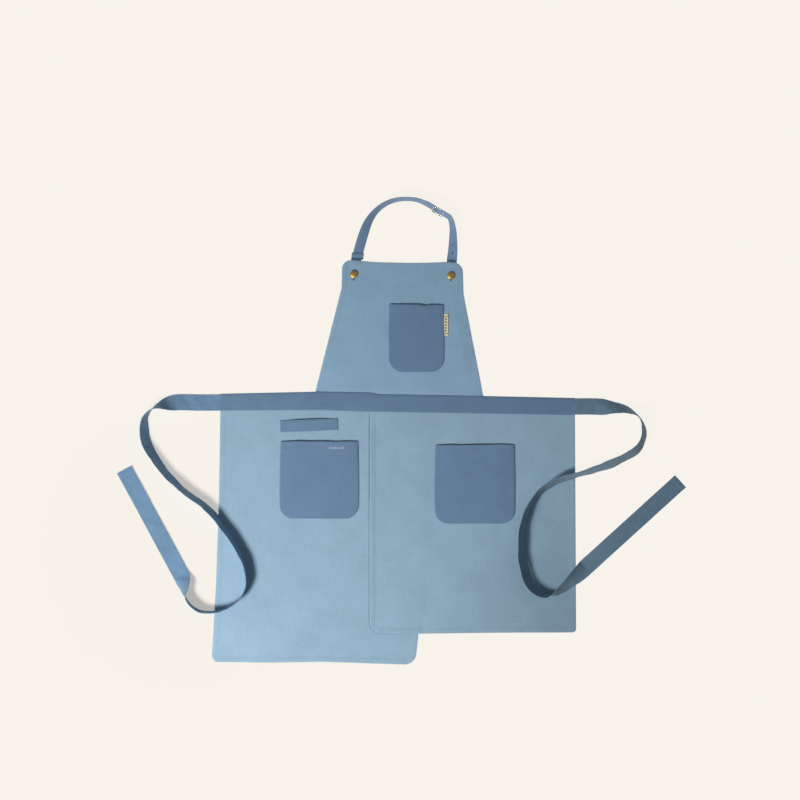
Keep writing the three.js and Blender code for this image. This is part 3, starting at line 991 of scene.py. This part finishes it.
pocket("bib_pocket_front", "bib_pocket", "bib", ((-27.5, -28.0), (92.0, 91.0)), 129.8, (278.3, 277.0), 29,
       lambda x, y: bib_middle(x, y) + 0.3, 1.5, [(0.64, -2.2), (0.04, 1.4), (0.1, -1.0)], hem=18.0, lift=1.4)
on_left_pocket = pocket(
    "left_pocket_front", "left_skirt_pocket", "left_skirt", ((-268.5, -266.5), (-96.0, -96.8)), -192.7,
    (-23.1, -22.6), 29, left_top, 1.8, [(0.25, 0.8), (0.7, -0.9)], lift=1.8)
pocket("right_pocket_front", "right_skirt_pocket", "right_skirt", ((72.6, 73.2), (247.6, 247.0)), -203.5,
       (-30.8, -30.0), 29, right_top, 1.8, [(0.3, -0.9), (0.8, 0.8)], lift=1.8)
print("pockets sewn")

# %% [markdown]
# ## Pocket motif
# A row of six small lozenges is embroidered in pale thread under the left pocket's mouth. Each has four short
# satin stitches, which catch the light a little more than the canvas.

# %% Pocket motif
motif = []
for k in range(6):
    x, y = -158.0 + 5.8 * k, -37.0
    around = [(x - 2.2, y), (x, y + 3.0), (x + 2.2, y), (x, y - 3.0), (x - 2.2, y)]
    for pair in zip(around, around[1:]):
        motif.append([(Vector((px, py, on_left_pocket(px, py))), UP) for px, py in pair])
lozenges = sew("pocket_lozenges", motif, pale_thread, length=3.0, gap=0.1, thick=1.3)
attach(lozenges, "left_skirt")
print("motif stitches", len(lozenges.data.polygons) // 24)

# %% [markdown]
# ## Towel loop and label tab
# The towel loop is a folded strip held by a box of stitches at each end and free between them. The label is a
# short piece of woven tape, folded and caught in the pocket's side seam.

# %% Towel loop and label tab
loop_start, loop_end = np.array((-268.0, 10.0)), np.array((-140.8, 15.4))
loop_way = (loop_end - loop_start) / np.linalg.norm(loop_end - loop_start)
loop_side = np.array((-loop_way[1], loop_way[0]))


def loop_place(u, v):
    flat = loop_start + (loop_end - loop_start) * u + loop_side * (v - 0.5) * 26
    held = smooth(0.1, 0.34, min(u, 1 - u))
    edge = min(v, 1 - v) * 26
    rim = 0.5 * smooth(0, 1.8, edge) * smooth(0, 1.8, min(u, 1 - u) * 127)
    z = left_top(*flat) + 0.75 + rim + 2.6 * held + 0.15 * wave(flat[0], flat[1], 16, 2.8)
    return (flat[0], flat[1], z), tuple(flat)


towel_loop = laid("towel_loop_strip", (90, 20), loop_place)
dress(thicken(towel_loop, 1.3, 0.4), left_tie_cloth)
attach(towel_loop, "left_skirt")
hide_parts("towel_loop")


def loop_run(path):
    return [(Vector(loop_place(u, v)[0]) + Vector((0, 0, 0.72)), UP) for u, v in path]


def box_runs(u0, u1, v0, v1):
    corners = [(u0, v0), (u1, v0), (u1, v1), (u0, v1), (u0, v0)]
    runs = [loop_run([a, b]) for a, b in zip(corners, corners[1:])]
    return runs + [loop_run([(u0, v0), (u1, v1)]), loop_run([(u0, v1), (u1, v0)])]


loop_runs = box_runs(0.025, 0.1, 0.14, 0.86) + box_runs(0.9, 0.975, 0.14, 0.86)
loop_runs += [loop_run([(u, v) for u in np.linspace(0.1, 0.9, 50)]) for v in (0.12, 0.88)]
loop_seams = sew("towel_loop_stitches", loop_runs, dark_thread, length=2.3, gap=0.8)
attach(loop_seams, "left_skirt")


def label_place(u, v):
    x = 91.6 + 10.0 * u
    y = 209.2 + 48.0 * v + 0.5 * math.sin(3 * u)
    bend = 0.7 * u * u + 0.12 * wave(x, y, 9, 4.4)
    return (x, y, bib_top(x, y) + 0.6 + bend), (x, y)


label = laid("label_tab_tape", (14, 44), label_place)
dress(thicken(label, 0.75, 0.25), label_tape)
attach(label, "label")
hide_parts("label_tab")
print("towel loop and label made")

# %% [markdown]
# ## Ties
# Each tie is a long folded strip, stitched along both edges, caught in the end of the waistband. It falls in
# a loop: it stands on edge round each bend and lies flat in its tail. It is laid in three lapping stretches:
# the root, the length, which rides on the tie's body, and the end.

# %% Ties
LEFT_TIE = [
    (-392.0, 62.7, 0, 1.7), (-448.0, 62.7, 0, 0.3), (-497.2, 62.7, 12, 0.3), (-539.0, 54.0, 76, 0.2),
    (-562.4, 30.0, 103, 0.2), (-564.0, -8.0, 119, 0.2), (-551.0, -44.0, 116, 0.2),
    (-514.8, -95.0, 109, 0.2), (-470.8, -137.0, 105, 0.2), (-428.0, -168.0, 105, 0.6),
    (-396.0, -204.0, 105, 1.7), (-365.2, -250.0, 102, 1.7), (-346.4, -292.0, 95, 1.7),
    (-340.5, -328.0, 89, 1.7), (-350.0, -358.0, 87, 1.7), (-374.0, -382.0, 88, 1.7),
    (-406.0, -395.0, 90, 1.2), (-443.0, -394.5, 90, 0.4), (-462.0, -383.0, 92, 0.3),
    (-473.0, -368.5, 97, 0.3), (-477.1, -358.2, 108, 0.3), (-478.6, -345.4, 125, 0.3),
    (-481.1, -329.7, 152, 0.3), (-482.8, -321.5, 172, 0.3), (-486.1, -315.4, 180, 0.3),
    (-542.0, -211.7, 180, 0.3), (-610.5, -84.8, 180, 0.3),
]
RIGHT_TIE = [
    (373.0, 53.9, 180, 1.9), (424.6, 53.9, 176, 0.4), (459.8, 51.7, 140, 0.3), (495.0, 46.2, 110, 0.2),
    (517.0, 34.0, 98, 0.2), (528.0, 12.0, 103, 0.2), (530.0, -12.0, 112, 0.2), (515.0, -40.0, 120, 0.2),
    (470.8, -66.0, 121, 0.2), (424.6, -83.6, 117, 0.2), (378.0, -97.0, 111, 1.6), (330.0, -114.0, 114, 1.9),
    (300.0, -136.0, 115, 1.9), (279.0, -168.0, 116, 1.9), (266.0, -210.0, 121, 1.9),
    (263.5, -250.0, 126, 1.9), (266.0, -289.0, 126, 1.9), (279.0, -331.0, 126, 1.9),
    (298.0, -352.0, 118, 1.9), (317.0, -359.0, 102, 1.9), (335.0, -356.0, 70, 1.9),
    (360.8, -337.0, 48, 1.9), (381.0, -320.0, 28, 1.7), (398.3, -304.8, 8, 0.6), (405.0, -298.7, 0, 0.4),
    (508.6, -204.6, 0, 0.3), (612.2, -110.4, 0, 0.3),
]


def tie(side, points, nodes, tail_at, material, stub=46.0):
    course = Strip(points, TIE_WIDTH, seed=2.0 if side == "left" else 6.0, crease=1.9, hemmed=True)
    bodies = (side + "_tie", side + "_tail")
    root = course.cloth(side + "_tie_root", 0.0, stub + 1.2)
    dress(thicken(root, 1.5, 0.45), material)
    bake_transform(root)
    tail = Vector(tail_at[0])
    joint = int(np.argmin(np.hypot(course.middle[:, 0] - tail.x / MM, course.middle[:, 1] - tail.y / MM)))
    cut = course.run[joint]
    length = course.cloth(side + "_tie_length", stub - 1.2, cut - 18.8)
    dress(thicken(length, 1.5, 0.45), material)
    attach(length, bodies[0])
    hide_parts(nodes[0])
    end_piece = course.cloth(side + "_tie_end", cut - 21.2, course.length)
    dress(thicken(end_piece, 1.5, 0.45), material)
    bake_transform(end_piece)
    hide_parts(nodes[1])
    tie_runs = strip_runs(course, 6.0, cut - 8, both_faces=True)
    seams = sew(side + "_tie_stitches", tie_runs, dark_thread)
    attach(seams, bodies[0])
    end = course.length
    tail_runs = strip_runs(course, cut + 12, end - 3, both_faces=True)
    for s in (end - 3.2, end - 16.0):
        for face in (1, -1):
            tail_runs.append([(course.at(s, o, face * 0.62)[0], course.at(s, o)[2] * face)
                              for o in np.linspace(-14, 14, 9)])
    tail_seams = sew(side + "_tail_stitches", tail_runs, dark_thread)
    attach(tail_seams, bodies[1])
    print(side, "tie length", round(course.length), "mm")


tie("left", LEFT_TIE, ("left_tie", "left_tie_tail"), ((-0.4858, -0.316, 0), (-0.4747, 0.8801, 0)),
    left_tie_cloth)
tie("right", RIGHT_TIE, ("right_tie", "right_tie_tail"), ((0.4045, -0.2991, 0), (0.74, 0.6726, 0)),
    right_tie_shaded_cloth)

# %% [markdown]
# ## Neck strap
# The neck strap is a narrower folded strip. Its ends pass behind the bib to the buttons, and it turns on edge
# over the crown, where it runs through the slider.

# %% Neck strap
turn = math.radians(-30.6)
SLIDER_LEAN = 66


def beside(d):
    return (80.0 + d * math.cos(turn), 483.5 + d * math.sin(turn), SLIDER_LEAN, 3.6)


NECK = [
    (-110.5, 320.0, 0, 1.0), (-105.0, 350.0, 0, 1.0), (-100.6, 377.0, 0, 1.1), (-95.9, 394.0, 4, 1.1),
    (-85.0, 431.0, 18, 0.6), (-73.5, 460.0, 42, 0.3), (-57.9, 482.0, 60, 0.3), (-38.0, 497.5, 67, 0.3),
    (-14.5, 507.0, 71, 0.3), (10.0, 509.3, 74, 0.3), (34.5, 506.4, 72, 1.1), beside(-27), beside(-23),
    beside(0), beside(23), beside(27), (108.4, 460.0, 62, 1.1), (111.4, 444.0, 54, 0.4),
    (112.2, 420.0, 40, 0.4), (111.4, 394.0, 22, 1.0), (109.8, 377.0, 0, 1.1), (108.6, 350.0, 0, 1.0),
    (106.6, 320.0, 0, 1.0),
]
neck = Strip(NECK, STRAP_WIDTH, seed=9.0, crease=0.3)
strap = neck.cloth("neck_strap_length", 0.0, neck.length, per_cell=2.2, across=12)
dress(thicken(strap, 1.3, 0.4), strap_cloth)
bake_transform(strap)
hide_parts("neck_strap", "left_strap_end", "right_strap_end")
over = [float(s) for s in np.linspace(0, neck.length, 400) if neck.at(s, 0)[0].y > 386]
neck_runs = strip_runs(neck, over[0], over[-1], inset=2.6, both_faces=True)
for s in (over[0] + 9, over[-1] - 20):
    neck_runs.append([(neck.at(s, o, 0.62)[0], neck.at(s, o)[2]) for o in np.linspace(-9.5, 9.5, 7)])
neck_seams = sew("neck_strap_stitches", neck_runs, dark_thread, thick=0.45)
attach(neck_seams, "neck_strap")


def sleeve_place(u, v):
    x = -112.0 + 26.5 * u + 2.0 * v
    y = 377.6 + 14.5 * v - 1.0 * u
    rim = 0.4 * smooth(0, 0.12, min(u, 1 - u)) * smooth(0, 0.2, min(v, 1 - v))
    return (x, y, 2.75 + 1.1 * v + rim + 0.1 * wave(x, y, 7, 3.9)), (x, y)


sleeve = laid("left_strap_sleeve", (26, 14), sleeve_place)
dress(thicken(sleeve, 0.9, 0.3), strap_cloth)
tacks = [[(Vector(sleeve_place(u, v)[0]) + 0.6 * UP, UP) for u in np.linspace(0.03, 0.97, 9)]
         for v in (0.02, 0.1, 0.18, 0.86)]
for s in (neck.length - 74.0, neck.length - 91.0):
    for k in range(7):
        tacks.append([(neck.at(s + 0.75 * k, o, 0.66)[0], neck.at(s, o)[2]) for o in (-2.4, 2.4)])
# Three close rows of dark bartack thread at the bib's top edge: they also paint the shadow the bib's edge
# casts on the strap.
edge_shadow_at = float(neck.run[-1] - 53.6)
for s in (edge_shadow_at, edge_shadow_at - 1.3, edge_shadow_at - 2.6):
    tacks.append([(neck.at(s, o, 0.8)[0], neck.at(s, o)[2]) for o in np.linspace(-10.4, 10.4, 9)])
strap_tacks_and_shadow = sew("strap_bartacks_and_shadow", tacks, bartack_thread, length=2.3, gap=0.15, thick=1.3)
# Dark bartack rows across the strap beside the slider: stitches that also paint the shade inside the slider.
tack_and_shade_rungs = []
at_slider = float(neck.run[np.argmin(np.hypot(neck.middle[:, 0] - 80.0, neck.middle[:, 1] - 483.5))])
for k in range(9):
    rung = at_slider - 9.0 + 0.8 * k
    for inner in (-8.5, -2.5, 3.5):
        tack_and_shade_rungs.append([(neck.at(rung, o, 0.55)[0], neck.at(rung, o)[2]) for o in (inner, inner + 5.0)])
slider_tacks_and_shade = sew("slider_bartacks_and_shade", tack_and_shade_rungs, bartack_thread, length=4.6, gap=0.2, thick=0.7)
for obj in (sleeve, strap_tacks_and_shadow, slider_tacks_and_shade):
    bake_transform(obj)
print("neck strap length", round(neck.length), "mm")

# %% [markdown]
# ## Buttons and slider
# Each button is a brass cap crimped over a stem that turns on a tack driven from behind. The slider is bent
# from round steel wire, with a middle bar that the strap presses against.


# %% Buttons
def button_cap(side):
    x, y = BUTTONS[side]
    low = 4.15
    profile = [(0.0, low + 4.1), (3.0, low + 4.0), (5.6, low + 3.5), (6.9, low + 2.9), (7.25, low + 2.62),
               (7.6, low + 2.72), (8.1, low + 2.6), (8.45, low + 2.1), (8.5, low + 1.3), (8.3, low + 0.5),
               (7.9, low + 0.1), (7.0, low + 0.1), (6.9, low + 1.2), (4.4, low + 2.2), (0.0, low + 2.7)]
    bm = bmesh.new()
    verts = [bm.verts.new((r * MM, 0, z * MM)) for r, z in profile]
    edges = [bm.edges.new(pair) for pair in zip(verts, verts[1:])]
    bmesh.ops.spin(bm, geom=verts + edges, cent=(0, 0, 0), axis=(0, 0, 1), angle=2 * math.pi, steps=48,
                   use_merge=True)
    bmesh.ops.remove_doubles(bm, verts=bm.verts[:], dist=1e-6)
    bmesh.ops.recalc_face_normals(bm, faces=bm.faces[:])
    bmesh.ops.translate(bm, verts=bm.verts[:], vec=(x * MM, y * MM, 0))
    cap = make_object(side + "_cap", bm)
    subdivide = cap.modifiers.new("round", "SUBSURF")
    subdivide.levels = subdivide.render_levels = 1
    dress(cap, brass)
    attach(cap, side + "_button")
    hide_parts(side + "_button_cap")


for side in BUTTONS:
    button_cap(side)
    for part_name in ("_button_stem", "_button_tack"):
        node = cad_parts[side + part_name]
        node.data.materials.clear()
        node.data.materials.append(brass)
print("buttons made")


# %% Slider
def wire(name, points, radius, closed):
    curve = bpy.data.curves.new(name, "CURVE")
    curve.dimensions = "3D"
    curve.bevel_depth = radius * MM
    curve.bevel_resolution = 5
    curve.use_fill_caps = True
    line = curve.splines.new("POLY")
    line.points.add(len(points) - 1)
    for p, q in zip(line.points, points):
        p.co = (*(Vector(q) * MM), 1)
    line.use_cyclic_u = closed
    made = bpy.data.objects.new(name + "_curve", curve)
    bpy.context.scene.collection.objects.link(made)
    bpy.context.view_layer.update()
    mesh = bpy.data.meshes.new_from_object(made.evaluated_get(bpy.context.evaluated_depsgraph_get()))
    bpy.data.objects.remove(made)
    obj = bpy.data.objects.new(name, mesh)
    bpy.context.scene.collection.objects.link(obj)
    mesh.polygons.foreach_set("use_smooth", [True] * len(mesh.polygons))
    bm = bmesh.new()
    bm.from_mesh(mesh)
    bmesh.ops.remove_doubles(bm, verts=bm.verts[:], dist=1e-6)
    bmesh.ops.recalc_face_normals(bm, faces=bm.faces[:])
    bm.to_mesh(mesh)
    bm.free()
    return obj


slide_way = Vector((math.cos(turn), math.sin(turn), 0))
flat_side = Vector((-slide_way.y, slide_way.x, 0))
lean = math.radians(SLIDER_LEAN)
slide_up = flat_side * math.cos(lean) + Vector((0, 0, math.sin(lean)))
slide_side = flat_side * math.sin(lean) - Vector((0, 0, math.cos(lean)))
centre = Vector((80.0, 483.5, 3.6 + math.sin(lean) * STRAP_WIDTH / 2 + math.cos(lean) * 0.6))
half_length, half_height, corner = 12.7, 12.4, 3.4
frame_points = []
for cx, cz, first in ((1, 1, 0), (-1, 1, 90), (-1, -1, 180), (1, -1, 270)):
    for k in range(9):
        around = math.radians(first + k * 90 / 8)
        along = cx * (half_length - corner) + corner * math.cos(around)
        high = cz * (half_height - corner) + corner * math.sin(around)
        frame_points.append(centre + slide_way * along + slide_up * high - slide_side * 2.1)
outer = dress(wire("slider_frame", frame_points, 1.25, True), steel)
bar_points = []
for k in range(25):
    high = half_height * (1 - 2 * k / 24)
    across = 4.1 * smooth(0.0, 3.0, half_height - abs(high)) - 2.1
    bar_points.append(centre + slide_up * high + slide_side * across)
middle_bar = dress(wire("slider_bar", bar_points, 1.0, False), steel)
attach(outer, "slider")
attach(middle_bar, "slider")
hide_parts("slider")
print("slider made")

# %% [markdown]
# ## The visual box
# The looks may stand a little proud of the solids; the box round every shown piece is printed.
# The looks may stand a little proud of the solids, but the whole has to keep the solids' size.

# %% Sizes and finish
low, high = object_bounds()
print("visual box", [round(x, 4) for x in (*low, *high)])
